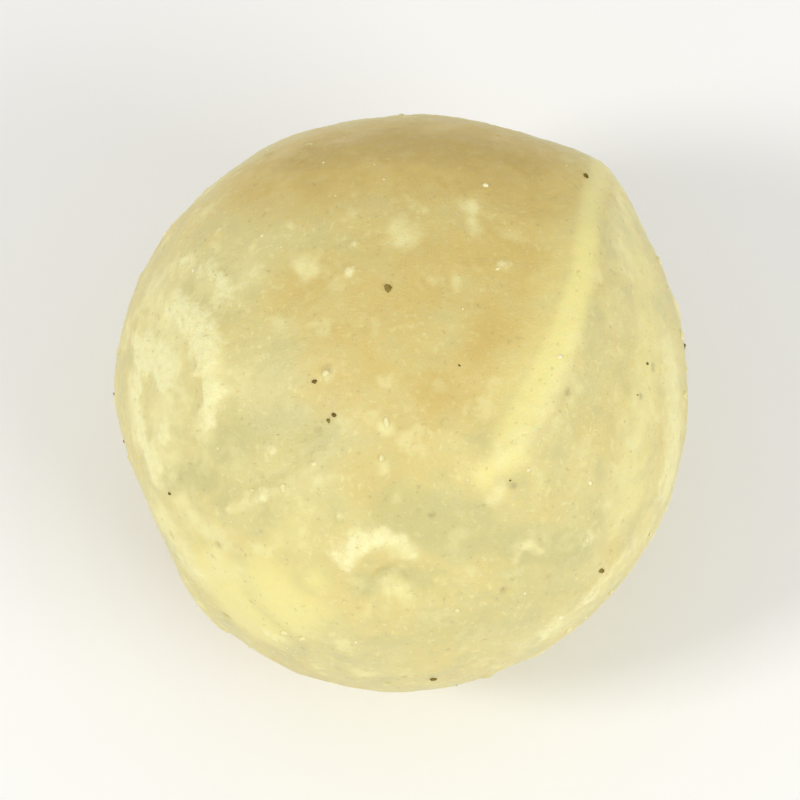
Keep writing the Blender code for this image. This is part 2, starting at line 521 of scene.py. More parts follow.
@dataclass(frozen=True)
class KernelForm:
    """The kernel's own form, before its fine relief. Lengths are in ball radii."""

    crest: Crest = Crest()
    flank: Flank = Flank()
    lumps: Lumps = Lumps()
    standing_height: float = 0.955
    flat_spot_cut: float = 0.035
    seam: Seam = Seam()
    marks: tuple[Mark, ...] = laid(
        (0.06, 0.32, TIP), (-0.034, 0.075, (-0.03, -0.61, 0.79)), (0.016, 0.08, (-0.06, -0.49, 0.87)),
        (-0.022, 0.42, (0.1, 0.52, 0.85)), (0.02, 0.17, (-0.66, 0.05, 0.75)), (-0.02, 0.26, (-0.38, -0.1, 0.92)),
        (0.018, 0.24, (-0.45, -0.68, 0.58)), (0.028, 0.11, (-0.73, -0.67, 0.14)), (0.014, 0.3, (0.72, -0.5, 0.47)),
        (0.022, 0.5, (-0.1, -1.0, 0.0)), (0.018, 0.42, (-0.6, 0.62, -0.5)), (-0.016, 0.38, (0.55, -0.25, -0.8)),
        (0.005, 0.03, (-0.57, -0.36), (-0.5, -0.335)), (0.007, 0.034, (-0.46, -0.31), (-0.4, -0.285)),
        (0.004, 0.028, (-0.33, -0.235), (-0.26, -0.17)),
        (0.008, 0.075, (-0.62, -0.42), (-0.4, -0.36), (-0.24, -0.26)),
        (-0.006, 0.045, (-0.55, -0.28), (-0.4, -0.21), (-0.28, -0.13)),
        (-0.008, 0.014, (-0.07, -0.58), (-0.14, -0.67)), (-0.008, 0.014, (-0.06, -0.58), (-0.09, -0.71)),
        (-0.008, 0.014, (-0.04, -0.58), (-0.02, -0.71)), (-0.008, 0.014, (-0.02, -0.57), (0.05, -0.66)),
        (0.006, 0.05, (-0.8, 0.36), (-0.7, 0.28), (-0.645, 0.16), (-0.64, 0.02)),
    )
    hidden_marks: tuple[Mark, ...] = (
        *Cracks(TIP, arms=6, spread=0.016, seed=6).marks(),
        *Cracks(CRACK, arms=5, spread=0.013, seed=12).marks(),
        Mark(-0.012, 0.026, SCAR),
    )
    chips: tuple[Chip, ...] = (
        Chip((-0.035, -0.595), turn=0.02, radius=0.135, depth=0.006, wall=0.34, paleness=0.58),
        Chip((0.44, -0.535), turn=0.25, radius=0.062, depth=0.006, wall=0.36, unevenness=0.12, paleness=0.35),
        Chip((-0.7, 0.02), turn=1.2, radius=0.08, depth=0.005),
        *HiddenChips().chips(),
    )

    def radii(self, ways: Array) -> Array:
        """Distance of the surface from the middle.

        Args:
            ways: world directions.

        Returns:
            The radius in each direction.
        """
        radii = 1.0 + self.lumps.over(ways)
        for mark in (*self.marks, *self.hidden_marks, *self.chips):
            for part in mark.parts(ways):
                radii = radii + part
        radii = radii + self.crest.over(ways) - self.seam.over(ways)
        return self.flank.flatten(ways, radii)

    def points(self, ways: Array) -> Array:
        """The surface, standing on its flat spot.

        Args:
            ways: world directions.

        Returns:
            The point in each direction, with the ball's middle above the origin.
        """
        points = ways * self.radii(ways)[:, None]
        points[:, 2] *= self.standing_height
        floor = -(1.0 - self.flat_spot_cut) * self.standing_height
        points[:, 2] = np.maximum(points[:, 2], floor) - floor
        return points


@dataclass(frozen=True)
class Patches:
    """Patches of one kind of skin: those that the photograph shows, and drawn ones over the hidden side.

    A patch is a mark whose height is how much of the skin there is, from 0 to 1, or more where it is thickest.
    """

    shown: tuple[Mark, ...]
    hidden: int
    strengths: Pair
    spreads: Pair
    seed: int

    def over(self, ways: Array) -> Array:
        """How much of this skin there is in each world direction."""
        return np.max([part for patch in (*self.shown, *self.drawn()) for part in patch.parts(ways)], axis=0)

    def drawn(self) -> list[Mark]:
        """The patches of the hidden side.

        Returns:
            As many as there should be, here and there.
        """
        draw = np.random.default_rng(self.seed)
        found: list[Mark] = []
        while len(found) < self.hidden:
            spot = drawn_spot(draw)
            patch = Mark(draw.uniform(*self.strengths), draw.uniform(*self.spreads), (spot,))
            if spot[2] < HIDDEN_BEYOND - patch.spread:
                found.append(patch)
        return found


@dataclass(frozen=True)
class Skin:
    """Where each kind of skin lies on the kernel."""

    chalky: Patches = Patches(
        hidden=30, strengths=(0.55, 1.0), spreads=(0.06, 0.20), seed=5, shown=laid(
            (1.0, 0.08, (-0.78, 0.36), (-0.7, 0.28), (-0.64, 0.18), (-0.62, 0.06)),
            (0.78, 0.085, (-0.62, 0.06), (-0.66, -0.08)), (1.1, 0.095, (-0.9, 0.2), (-0.82, 0.16), (-0.79, 0.09)),
            (1.05, 0.085, (-0.91, 0.02), (-0.89, -0.12), (-0.84, -0.24)),
            (0.72, 0.1, (-0.72, 0.47), (-0.61, 0.39), (-0.52, 0.43)),
            (0.9, 0.064, (-0.18, -0.52), (-0.13, -0.48), (-0.06, -0.455)),
            (0.92, 0.052, (-0.06, -0.455), (0.0, -0.46), (0.03, -0.505)),
            (0.6, 0.038, (-0.57, -0.36), (-0.43, -0.3), (-0.31, -0.22), (-0.24, -0.16)),
            (0.58, 0.085, (0.9, -0.26), (0.84, -0.43), (0.74, -0.56), (0.6, -0.71), (0.45, -0.83)),
            (0.55, 0.05, (-0.44, -0.8), (-0.32, -0.82)), (0.62, 0.08, (0.9, 0.12), (0.91, -0.26)),
            (0.9, 0.055, (-0.8, -0.09)), (0.6, 0.035, (-0.44, -0.16)), (0.6, 0.045, (-0.61, -0.4)),
            (0.8, 0.07, (-0.67, -0.59)), (0.36, 0.035, (0.35, 0.48)), (0.45, 0.12, (0.66, -0.44)),
        )
    )
    bloom: Patches = Patches(
        hidden=26, strengths=(0.4, 0.9), spreads=(0.05, 0.26), seed=14, shown=laid(
            (0.85, 0.15, (-0.85, 0.38), (-0.76, 0.1), (-0.82, -0.2)), (1.05, 0.11, (-0.82, -0.4), (-0.72, -0.56)),
            (1.1, 0.12, (0.92, 0.16), (0.92, -0.28)), (0.62, 0.1, (0.66, 0.74), (0.74, 0.6)),
            (0.72, 0.05, (0.56, 0.2), (0.49, 0.04), (0.42, -0.08), (0.32, -0.17)),
            (0.62, 0.13, (0.8, -0.04), (0.74, -0.36)), (0.85, 0.11, (-0.74, -0.36), (-0.62, -0.46), (-0.6, -0.56)),
            (0.9, 0.07, (-0.93, 0.06), (-0.92, -0.12)), (0.5, 0.07, (0.71, 0.58), (0.7, 0.44)),
            (0.78, 0.034, (0.39, -0.54), (0.4, -0.49), (0.43, -0.47), (0.465, -0.5)),
            (0.62, 0.14, (0.92, -0.2), (0.76, -0.56), (0.45, -0.83)),
            (0.85, 0.1, (-0.02, -0.64)), (0.8, 0.07, (-0.6, 0.1)), (1.05, 0.065, (-0.32, 0.47)),
            (0.7, 0.045, (-0.22, 0.41)), (0.95, 0.08, (0.01, 0.59)), (1.05, 0.05, (0.24, 0.68)),
            (0.85, 0.045, (0.25, 0.62)), (0.55, 0.05, (0.19, 0.42)), (0.9, 0.04, (-0.055, -0.075)),
            (0.8, 0.035, (-0.06, -0.205)), (0.8, 0.035, (-0.255, 0.1)), (0.9, 0.05, (0.32, -0.3)),
            (0.6, 0.07, (0.62, -0.16)), (0.45, 0.11, (0.7, 0.3)), (0.55, 0.07, (-0.1, -0.7)),
            (0.5, 0.07, (0.2, -0.6)), (0.4, 0.11, (-0.35, -0.42)),
        )
    )
    glassy: Patches = Patches(
        hidden=12, strengths=(0.5, 1.0), spreads=(0.14, 0.34), seed=8, shown=laid(
            (1.0, 0.12, (-0.6, -0.12), (-0.42, -0.06), (-0.28, -0.12)), (0.9, 0.08, (-0.84, -0.26), (-0.66, -0.26)),
            (1.5, 0.125, (0.02, -0.36), (0.22, -0.43)), (0.85, 0.09, (-0.1, -0.62), (0.07, -0.6)),
            (0.6, 0.18, (0.3, -0.42), (0.5, -0.62), (0.1, -0.8)),
            (0.42, 0.07, (0.66, 0.24), (0.61, 0.02), (0.53, -0.16), (0.5, -0.3)),
            (1.05, 0.11, (0.3, -0.46), (0.58, -0.5)),
            (0.8, 0.05, (-0.76, 0.06)), (0.75, 0.16, (-0.4, 0.14)), (0.6, 0.12, (-0.24, 0.02)),
        )
    )
    buttery: Patches = Patches(
        hidden=7, strengths=(0.4, 0.9), spreads=(0.16, 0.30), seed=3, shown=laid(
            (0.88, 0.165, (-0.45, -0.62), (-0.36, -0.7)), (0.74, 0.065, (0.28, -0.235), (0.37, -0.17)),
            (0.32, 0.11, (0.06, -0.24), (0.22, -0.12)), (1.0, 0.15, (-0.62, -0.6), (-0.5, -0.76)),
            (0.55, 0.15, (0.8, 0.48), (0.84, 0.2), (0.8, -0.1), (0.78, -0.34)),
            (0.35, 0.12, (-0.78, -0.38), (-0.7, -0.54)),
            (0.36, 0.075, (0.2, -0.24)), (0.7, 0.09, (-0.29, -0.6)), (0.42, 0.14, (-0.4, -0.46)),
        )
    )
    toasted: Patches = Patches(
        hidden=9, strengths=(0.5, 1.0), spreads=(0.25, 0.50), seed=21, shown=laid(
            (0.88, 0.2, (0.44, 0.48), (0.32, 0.2)), (0.66, 0.18, (0.32, 0.2), (0.14, 0.05)),
            # The first row, the band along the top, is partly toast and partly painted shadow, darker towards the top.
            (1.3, 0.34, (0.56, 0.7), (0.2, 0.88), (-0.3, 0.86)), (1.0, 0.11, (0.04, -0.4), (0.18, -0.42)),
            (0.8, 0.1, *SCAR),
            (0.74, 0.34, (0.04, 0.46)), (0.55, 0.24, (-0.3, 0.4)), (0.4, 0.09, (-0.33, -0.52)),
            # The patch at (0.28, 0.54) is partly toast and partly painted shadow over the top.
            (0.55, 0.15, (-0.03, -0.05)), (0.8, 0.24, (0.28, 0.54)), (0.45, 0.22, (-0.02, -0.24)),
            (0.62, 0.24, (-0.2, 0.17)), (0.9, 0.18, TIP),
        )
    )
    stained: Patches = Patches(
        hidden=14, strengths=(0.5, 0.9), spreads=(0.015, 0.04), seed=41, shown=laid(
            (0.36, 0.015, *SCAR[:2]), (0.62, 0.022, *SCAR[1:3]), (0.45, 0.017, *SCAR[2:]),
            (0.5, 0.018, (0.06, -0.36)), (0.66, 0.022, (0.105, -0.373)), (0.72, 0.024, (0.37, -0.27)),
            (0.7, 0.025, (0.86, 0.12)), (0.7, 0.02, (0.81, 0.02)), (0.5, 0.012, (-0.55, 0.02)),
            (0.2, 0.025, (-0.05, -0.6)), (0.7, 0.024, (-0.28, -0.09)), (0.6, 0.026, (-0.05, 0.41)),
            (0.6, 0.022, (0.5, -0.59)), (0.6, 0.05, TIP), (0.42, 0.04, CRACK),
        )
    )
    hollow_toast: float = 0.6
    recess_toast: float = 0.1
    dome_bareness: float = 0.85
    crest_bareness: float = 0.8

    def covers(self, ways: Array, form: KernelForm) -> dict[Zone, Array]:
        """How much of each kind of skin there is in each world direction.

        Args:
            ways: world directions.
            form: the kernel's form, whose crest and hollow the colours follow.

        Returns:
            For each zone, numbers from 0 to 1.
        """
        # the crest's pale top: pale flesh with a painted highlight along the ridge
        crest = form.crest.top_over(ways)
        toasted = np.maximum(self.toasted.over(ways), self.hollow_toast * form.crest.hollow_over(ways))
        toasted = toasted * (1.0 - self.dome_bareness * form.crest.dome_over(ways))
        chalky = self.chalky.over(ways)
        for chip in form.chips:
            recess = chip.recess_over(ways)
            chalky = np.maximum(chalky * (1.0 - recess), chip.paleness * chip.wall_over(ways))
            # painted shade: each chip's recess is darkened with the toasted colour
            toasted = np.maximum(toasted, self.recess_toast * recess)
        return {
            Zone.CHALKY: chalky,
            Zone.BLOOM: self.bloom.over(ways),
            Zone.GLASSY: self.glassy.over(ways),
            # the buttery colour also carries the crest's painted highlight
            Zone.BUTTERY: np.maximum(self.buttery.over(ways), crest),
            Zone.TOASTED: toasted * (1.0 - self.crest_bareness * crest),
            Zone.STAINED: self.stained.over(ways),
        }


def live(sockets: Any, name: str) -> Socket:
    """The socket of that name that the node's settings leave in use."""
    return next(socket for socket in sockets if socket.name == name and socket.enabled)


class Graph:
    """Adds nodes to a tree, and joins them up as it does."""

    def __init__(self, tree: bpy.types.NodeTree) -> None:
        """Takes the tree to add to, and empties it."""
        self.tree = tree
        tree.nodes.clear()

    def add(self, kind: str, inputs: Mapping[str | int, Any] | None = None, **settings: Any) -> bpy.types.Node:
        """Adds one node.

        Args:
            kind: the node's type.
            inputs: for each input, by name or number, a value or the socket that feeds it.
            **settings: the node's own properties.

        Returns:
            The new node.
        """
        node = self.tree.nodes.new(kind)
        for name, value in settings.items():
            setattr(node, name, value)
        for key, value in (inputs or {}).items():
            socket = node.inputs[key] if isinstance(key, int) else live(node.inputs, key)
            if isinstance(value, Socket):
                self.tree.links.new(value, socket)
            else:
                socket.default_value = value
        return node

    def maths(self, operation: str, *values: Any) -> Socket:
        """The result of a Math node."""
        return self.add("ShaderNodeMath", dict(enumerate(values)), operation=operation).outputs[0]

    def most(self, first: Socket, *others: Socket) -> Socket:
        """The largest of some numbers."""
        return self.maths("MAXIMUM", first, self.most(*others)) if others else first

    def less(self, value: Socket, share: float, cover: Socket) -> Socket:
        """The value, less a share of it where the cover lies."""
        return self.maths("MULTIPLY", value, self.maths("MULTIPLY_ADD", cover, -share, 1.0))

    def scaled(self, vector: Socket, factor: Any) -> Socket:
        """The vector times a number."""
        inputs = {"Vector": vector, "Scale": factor}
        return self.add("ShaderNodeVectorMath", inputs, operation="SCALE").outputs["Vector"]

    def mixed(self, share: Socket, under: Any, over: Any) -> Socket:
        """One colour laid over another by a share."""
        inputs = {"Factor": share, "A": under, "B": over}
        return live(self.add("ShaderNodeMix", inputs, data_type="RGBA").outputs, "Result")

    def noise(self, place: Socket, size: Any, detail: float = 2.0, roughness: float = 0.5) -> Socket:
        """Noise round one half, whose blobs are about one size across, in metres."""
        inputs = {"Vector": place, "Scale": self.per(size), "Detail": detail, "Roughness": roughness}
        return live(self.add("ShaderNodeTexNoise", inputs).outputs, "Fac")

    def per(self, size: Any) -> Any:
        """How many of a size go into a metre."""
        return self.maths("DIVIDE", 1.0, size) if isinstance(size, Socket) else 1.0 / size

    def between(self, value: Socket, start: Any, end: Any, low: float = 0.0, high: float = 1.0) -> Socket:
        """The value's smooth way from low at start to high at end."""
        inputs = {"Value": value, "From Min": start, "From Max": end, "To Min": low, "To Max": high}
        return live(self.add("ShaderNodeMapRange", inputs, interpolation_type="SMOOTHSTEP").outputs, "Result")

    def ragged(
        self, cover: Socket, noise: Socket, raggedness: float, start: float, end: float, whole: float = 1.0
    ) -> Socket:
        """A zone's cover with its edge torn by the noise: nought at start and whole at end."""
        shift = self.maths("MULTIPLY_ADD", noise, raggedness, -0.5 * raggedness)
        return self.between(self.maths("ADD", cover, shift), start, end, 0.0, whole)


class GeometryTree(Graph):
    """A Geometry Nodes tree with named inputs."""

    def __init__(self, name: str, sizes: Mapping[str, float], finish: bpy.types.Material) -> None:
        """Starts the tree.

        Args:
            name: the tree's name.
            sizes: the name and first value of each number that the tree takes.
            finish: the material that its result wears.
        """
        super().__init__(bpy.data.node_groups.new(name, "GeometryNodeTree"))
        face = self.tree.interface
        face.new_socket("Geometry", in_out="INPUT", socket_type="NodeSocketGeometry")
        for label in sizes:
            face.new_socket(label, in_out="INPUT", socket_type="NodeSocketFloat")
        face.new_socket("Geometry", in_out="OUTPUT", socket_type="NodeSocketGeometry")
        self.sizes = dict(sizes)
        self.finish = finish
        self.source = self.add("NodeGroupInput").outputs
        self.place = self.add("GeometryNodeInputPosition").outputs[0]

    def attribute(self, name: str, kind: str = "FLOAT") -> Socket:
        """The mesh's own numbers of that name."""
        inputs = {"Name": name}
        return live(self.add("GeometryNodeInputNamedAttribute", inputs, data_type=kind).outputs, "Attribute")

    def store(self, geometry: Socket, name: str, value: Socket, kind: str = "FLOAT") -> Socket:
        """The geometry with a value kept on its points under a name."""
        inputs = {"Geometry": geometry, "Name": name, "Value": value}
        return self.add("GeometryNodeStoreNamedAttribute", inputs, data_type=kind, domain="POINT").outputs[0]

    def moved(self, geometry: Socket, offset: Socket) -> Socket:
        """The geometry with its points moved."""
        return self.add("GeometryNodeSetPosition", {"Geometry": geometry, "Offset": offset}).outputs[0]

    def drawn(self, low: Any, high: Any, seed: int) -> Socket:
        """Draws a number or a vector for each point.

        Args:
            low: the least that is drawn.
            high: the most.
            seed: the seed of the draws.

        Returns:
            What was drawn.
        """
        inputs = {"Min": low, "Max": high, "Seed": seed}
        kind = "FLOAT" if isinstance(low, float) else "FLOAT_VECTOR"
        return live(self.add("FunctionNodeRandomValue", inputs, data_type=kind).outputs, "Value")

    def grains(self, points: Socket, turn: Socket, stretch: Socket, fineness: int, bump: Pair) -> Socket:
        """Lumpy grains on the points, no two of them alike.

        Args:
            points: where the grains are.
            turn: the rotation of each.
            stretch: the radius of each along its three axes.
            fineness: how often the ball that they start from is subdivided.
            bump: the size and the depth of their bumps.

        Returns:
            The grains, made real.
        """
        ball = self.add("GeometryNodeMeshIcoSphere", {"Radius": 1.0, "Subdivisions": fineness}).outputs["Mesh"]
        inputs = {"Points": points, "Instance": ball, "Rotation": turn, "Scale": stretch}
        strewn = self.add("GeometryNodeInstanceOnPoints", inputs).outputs[0]
        real = self.add("GeometryNodeRealizeInstances", {"Geometry": strewn}).outputs[0]
        size, depth = bump
        dent = self.maths("MULTIPLY_ADD", self.noise(self.place, size, 1.0), 2.0 * depth, -depth)
        return self.moved(real, self.scaled(self.add("GeometryNodeInputNormal").outputs[0], dent))

    def close(self, geometry: Socket) -> None:
        """Ends the tree: smooth faces, made real, in the finish.

        Args:
            geometry: what the tree has made.
        """
        smooth = self.add("GeometryNodeSetShadeSmooth", {"Geometry": geometry}).outputs[0]
        real = self.add("GeometryNodeRealizeInstances", {"Geometry": smooth}).outputs[0]
        dressed = self.add("GeometryNodeSetMaterial", {"Geometry": real, "Material": self.finish}).outputs[0]
        self.add("NodeGroupOutput", {0: dressed})

    def apply(self, host: bpy.types.Object, name: str) -> bpy.types.Object:
        """Runs the tree on an object and makes a plain piece of the result.

        Args:
            host: the object whose mesh the tree starts from. It is removed.
            name: the new piece's name.

        Returns:
            The piece, at the origin, with no modifier.
        """
        modifier = host.modifiers.new(self.tree.name, "NODES")
        modifier.node_group = self.tree
        for item in self.tree.interface.items_tree:
            if item.in_out == "INPUT" and item.name in self.sizes:
                modifier[item.identifier] = self.sizes[item.name]
        graph = bpy.context.evaluated_depsgraph_get()
        mesh = bpy.data.meshes.new_from_object(
            host.evaluated_get(graph), preserve_all_data_layers=True, depsgraph=graph
        )
        host.modifiers.remove(modifier)
        bpy.data.objects.remove(host)
        mesh.name = name
        return linked(name, mesh)


class MaterialTree(Graph):
    """A material's tree, which ends in one shader."""

    def __init__(self, name: str) -> None:
        """Starts a new material.

        Args:
            name: the material's name.
        """
        self.material = bpy.data.materials.new(name)
        self.material.use_nodes = True
        super().__init__(self.material.node_tree)

    def coordinates(self) -> Socket:
        """Where each point is on its object."""
        return self.add("ShaderNodeTexCoord").outputs["Object"]

    def close(self, inputs: Mapping[str, Any]) -> bpy.types.Material:
        """Ends the tree in a shader with these inputs, and gives the material."""
        self.add("ShaderNodeOutputMaterial", {"Surface": self.add("ShaderNodeBsdfPrincipled", inputs).outputs[0]})
        return self.material


def linked(name: str, data: Any) -> bpy.types.Object:
    """Puts a new object in the scene.

    Args:
        name: the object's name.
        data: its mesh, lamp or camera.

    Returns:
        The object.
    """
    made = bpy.data.objects.new(name, data)
    bpy.context.scene.collection.objects.link(made)
    return made


def numbers_in(part: Any) -> dict[str, float]:
    """The fields of a sub-assembly that are floats, by name, as its tree takes them."""
    return {name: value for name, value in vars(part).items() if isinstance(value, float)}


def carried(piece: bpy.types.Object) -> bpy.types.Object:
    """Lets a piece ride the kernel's body.

    Args:
        piece: the finished piece.

    Returns:
        The same piece.
    """
    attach(piece, BODY)
    return piece


@dataclass(frozen=True)
class FleshFinish:
    """Waxy macadamia flesh. Colours are linear, and sizes are in metres.

    Each noise is given as its size, detail and roughness. Each ramp on a noise is given as its start and end, and
    what it gives at each where that isn't nought and one. Each edge of a zone is given as how far a noise moves it,
    where the zone begins, where it is whole, and how much it then covers where that isn't all. A loss is the share
    of the glassy or milky look that goes where toast, glass and butter lie over it.
    """

    cream: Colour = (0.735, 0.655, 0.28, 1.0)
    warm_cream: Colour = (0.75, 0.635, 0.246, 1.0)
    toasted: Colour = (0.73, 0.558, 0.177, 1.0)
    # The deepest toast colour is also the darkest painted shadow along the kernel's top.
    deep_toast: Colour = (0.55, 0.388, 0.086, 1.0)
    glassy: Colour = (0.615, 0.565, 0.238, 1.0)
    buttery: Colour = (0.9, 0.81, 0.315, 1.0)
    pale: Colour = (0.895, 0.825, 0.39, 1.0)
    chalk: Colour = (0.965, 0.915, 0.505, 1.0)
    stain: Colour = (0.38, 0.31, 0.13, 1.0)
    cloud: Numbers = (3.4 * MILLIMETRE, 3.0, 0.6)
    mottle: Numbers = (1.2 * MILLIMETRE, 3.0, 0.5)
    curd: Numbers = (0.5 * MILLIMETRE, 2.0, 0.5)
    fleck: Numbers = (0.22 * MILLIMETRE, 2.0, 0.5)
    grain: Numbers = (0.11 * MILLIMETRE, 3.0, 0.65)
    warm_clouds: Numbers = (0.35, 0.65)
    deep_mottle: Numbers = (0.3, 0.72, 0.1, 0.55)
    clear_mottle: Numbers = (0.52, 0.32, 0.0, 0.55)
    milky_mottle: Numbers = (0.52, 0.7, 0.0, 0.75)
    milky_curd: Numbers = (0.3, 0.6)
    pale_flecks: Numbers = (0.57, 0.72, 0.0, 0.42)
    chalk_gaps: Numbers = (0.62, 0.36, 0.0, 0.55)
    pores: Numbers = (0.37, 0.25, 0.0, 0.3)
    toast_edge: Numbers = (0.6, 0.0, 1.0)
    thick_edge: Numbers = (0.8, 0.75, 1.45, 0.9)
    glass_edge: Numbers = (1.3, 0.2, 1.0, 0.9)
    butter_edge: Numbers = (0.35, 0.1, 0.9)
    bloom_edge: Numbers = (1.2, 0.15, 1.3)
    halo_edge: Numbers = (1.2, 0.28, 1.15, 0.75)
    crust_edge: Numbers = (0.8, -0.1, 1.1)
    chalk_edge: Numbers = (0.75, 0.1, 1.0)
    stain_edge: Numbers = (0.8, 0.25, 0.95, 0.8)
    glass_loss: float = 0.85
    milk_losses: Numbers = (0.75, 0.65, 0.55)
    butter_share: float = 0.9
    chalk_share: float = 0.86
    pit_stain: float = 0.45
    roughness: float = 0.34
    mottled_roughness: float = 0.24
    chalk_roughness: float = 0.22
    glass_smoothness: float = 0.1
    grain_depth: float = 0.06 * MILLIMETRE
    grain_strength: float = 0.5
    chalk_grain: float = 0.4
    glow_depth: float = 0.8 * MILLIMETRE
    glow_colours: Light = (1.0, 0.62, 0.22)
    glow: float = 0.22
    oil: float = 0.08
    oil_roughness: float = 0.35

    def material(self) -> bpy.types.Material:
        """Mixes the flesh by the mesh's zones, with noise on Object coordinates.

        Returns:
            The material.
        """
        graph = MaterialTree("kernel_flesh")
        place = graph.coordinates()
        noises = (self.cloud, self.mottle, self.curd, self.fleck)
        cloud, mottle, curd, fleck = (graph.noise(place, *noise) for noise in noises)
        cover = {zone: graph.add("ShaderNodeAttribute", attribute_name=zone.value).outputs["Fac"] for zone in Zone}
        toast = graph.ragged(cover[Zone.TOASTED], cloud, *self.toast_edge)
        deep = graph.maths("MULTIPLY", toast, graph.between(mottle, *self.deep_mottle))
        thick_toast_and_shadow = graph.ragged(cover[Zone.TOASTED], mottle, *self.thick_edge)
        glass = graph.ragged(cover[Zone.GLASSY], mottle, *self.glass_edge)
        glass = graph.most(glass, graph.between(mottle, *self.clear_mottle))
        glass = graph.less(glass, self.glass_loss, toast)
        butter = graph.ragged(cover[Zone.BUTTERY], mottle, *self.butter_edge)
        bloom = graph.ragged(cover[Zone.BLOOM], curd, *self.bloom_edge)
        halo = graph.ragged(cover[Zone.CHALKY], mottle, *self.halo_edge)
        milk = graph.maths(
            "MULTIPLY", graph.between(mottle, *self.milky_mottle), graph.between(curd, *self.milky_curd)
        )
        milk = graph.most(milk, graph.between(fleck, *self.pale_flecks))
        for share, hider in zip(self.milk_losses, (toast, glass, butter)):
            milk = graph.less(milk, share, hider)
        chalk = graph.ragged(cover[Zone.CRUST], curd, *self.crust_edge)
        chalk = graph.ragged(chalk, fleck, *self.chalk_edge)
        crumbly = graph.mixed(graph.between(fleck, *self.chalk_gaps), self.chalk, self.pale)
        stain = graph.ragged(cover[Zone.STAINED], fleck, *self.stain_edge)
        # painted shade in the pits, laid on in the stain colour
        pit = graph.maths("MULTIPLY", cover[Zone.PIT], self.pit_stain)
        colour: Any = self.cream
        for share, over in (
            (graph.between(cloud, *self.warm_clouds), self.warm_cream),
            (toast, self.toasted),
            # where the toast is thickest, as along the top, the deep toast is partly painted shadow
            (graph.most(deep, thick_toast_and_shadow), self.deep_toast),
            (glass, self.glassy),
            (graph.maths("MULTIPLY", butter, self.butter_share), self.buttery),
            (graph.most(bloom, halo, milk), self.pale),
            (graph.maths("MULTIPLY", chalk, self.chalk_share), crumbly),
            (graph.most(stain, pit, graph.between(fleck, *self.pores)), self.stain),
        ):
            colour = graph.mixed(share, colour, over)
        rough = graph.maths("MULTIPLY_ADD", mottle, self.mottled_roughness, self.roughness)
        rough = graph.maths("MULTIPLY_ADD", chalk, self.chalk_roughness, rough)
        strength = graph.maths("MULTIPLY_ADD", chalk, self.chalk_grain, self.grain_strength)
        grain = {"Height": graph.noise(place, *self.grain), "Strength": strength, "Distance": self.grain_depth}
        return graph.close(
            {
                "Base Color": colour,
                "Roughness": graph.maths("MULTIPLY_ADD", glass, -self.glass_smoothness, rough),
                "Normal": graph.add("ShaderNodeBump", grain).outputs["Normal"],
                "Subsurface Weight": self.glow,
                "Subsurface Radius": self.glow_colours,
                "Subsurface Scale": self.glow_depth,
                "Coat Weight": self.oil,
                "Coat Roughness": self.oil_roughness,
            }
        )


@dataclass(frozen=True)
class GritFinish:
    """The finish of small grains that lie on the kernel."""

    name: str
    colour: Colour
    pale: Colour
    roughness: float
    gloss: float = 0.5
    patch_size: float = 0.3 * MILLIMETRE
    patch_ramp: Numbers = (0.3, 0.7)
    pale_roughness: float = 0.15

    def material(self) -> bpy.types.Material:
        """The grains' material, which varies a little from grain to grain.

        Returns:
            The material.
        """
        graph = MaterialTree(self.name)
        shade = graph.between(graph.noise(graph.coordinates(), self.patch_size), *self.patch_ramp)
        rough = graph.between(shade, 0.0, 1.0, self.roughness, self.roughness + self.pale_roughness)
        colour = graph.mixed(shade, self.colour, self.pale)
        return graph.close({"Base Color": colour, "Roughness": rough, "Specular IOR Level": self.gloss})


